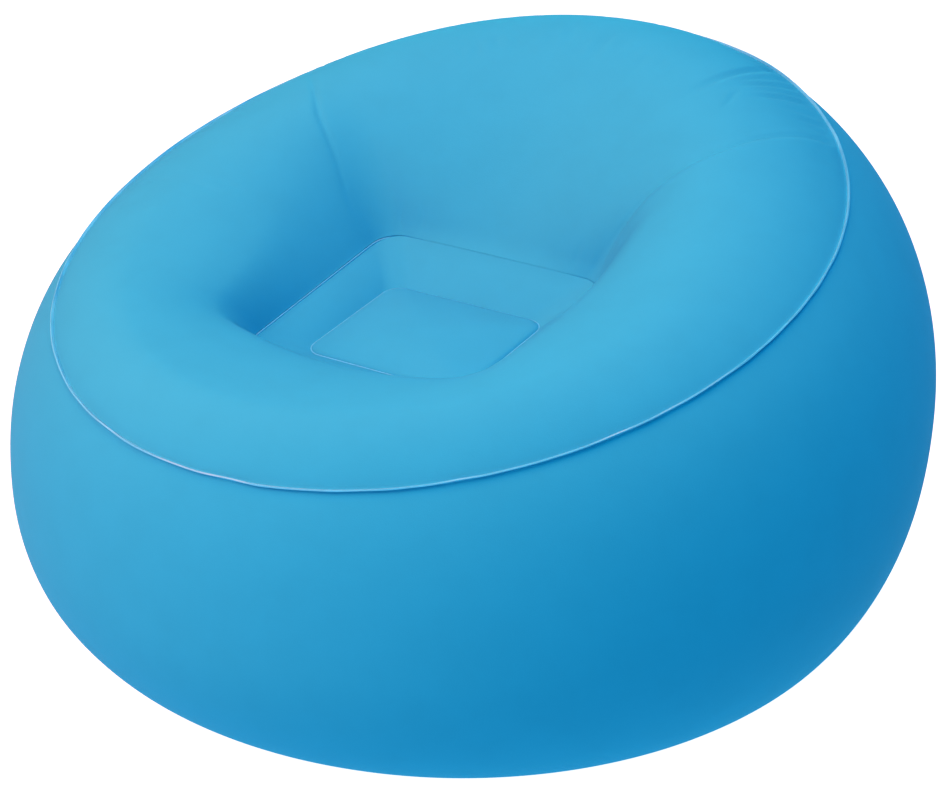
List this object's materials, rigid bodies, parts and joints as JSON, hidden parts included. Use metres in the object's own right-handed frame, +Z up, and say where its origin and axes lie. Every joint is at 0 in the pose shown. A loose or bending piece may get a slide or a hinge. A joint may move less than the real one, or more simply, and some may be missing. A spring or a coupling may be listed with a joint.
{
  "type": "inflatable chair",
  "caption": "Round low inflatable lounge chair of flocked sheet with a raised back, a deep square seat pocket, inner webs and a screw valve at the back.",
  "frame": {"origin": "centre of the chair's outline on the floor it stands on", "axes": "+Z up; the chair faces -Y and its high back is at +Y; +X is to the right seen from the front; the left and right halves match about the plane X = 0"},
  "size_m": [1.1176, 1.1176, 0.6593],
  "materials": {
    "flocked_sheet": "matte",
    "weld_seam": "satin",
    "inner_sheet": "satin",
    "valve_plastic": "satin",
    "valve_rubber": "matte"
  },
  "bodies": {
    "chair": {"top_skin": "flocked_sheet", "pocket_band": "flocked_sheet", "seat_floor": "flocked_sheet", "side_skin": "flocked_sheet", "base_panel": "flocked_sheet", "band_weld": "inner_sheet", "floor_weld": "inner_sheet", "base_weld": "inner_sheet", "front_web": "inner_sheet", "front_web_head_tape": "inner_sheet", "front_web_foot_tape": "inner_sheet", "rear_web": "inner_sheet", "rear_web_head_tape": "inner_sheet", "rear_web_foot_tape": "inner_sheet", "left_web": "inner_sheet", "left_web_head_tape": "inner_sheet", "left_web_foot_tape": "inner_sheet", "right_web": "inner_sheet", "right_web_head_tape": "inner_sheet", "right_web_foot_tape": "inner_sheet", "perimeter_weld": "weld_seam", "valve_flange": "weld_seam", "valve_neck": "valve_plastic", "valve_gasket": "valve_rubber"},
    "strap_carrier": {"strap_ring": "valve_plastic", "stopper_strap": "valve_plastic"},
    "insert": {"valve_insert": "valve_plastic"},
    "flap": {"check_flap": "valve_rubber"},
    "plug": {"stopper": "valve_plastic"}
  },
  "joints": [
    {"name": "valve_slide", "type": "slide", "parent": "chair", "child": "strap_carrier", "axis": [0, 0.982, -0.1891], "range_m": [0, 0.01]},
    {"name": "valve_turn", "type": "hinge", "parent": "strap_carrier", "child": "insert", "pos_m": [0, 0.54373, 0.23936], "axis": [0, 0.982, -0.1891], "range_deg": [0, 901]},
    {"name": "flap_swing", "type": "hinge", "parent": "insert", "child": "flap", "pos_m": [0, 0.53389, 0.25327], "axis": [-1, 0, 0], "range_deg": [0, 40], "stiffness_Nm_per_rad": 0.0004},
    {"name": "stopper_swing", "type": "hinge", "parent": "strap_carrier", "child": "plug", "pos_m": [0, 0.5579, 0.26056], "axis": [1, 0, 0], "range_deg": [0, 140], "deforming": ["stopper_strap"]}
  ],
  "couplings": [
    {"joint": "valve_turn", "follows": "valve_slide", "rad_per_m": 1570.8}
  ]
}
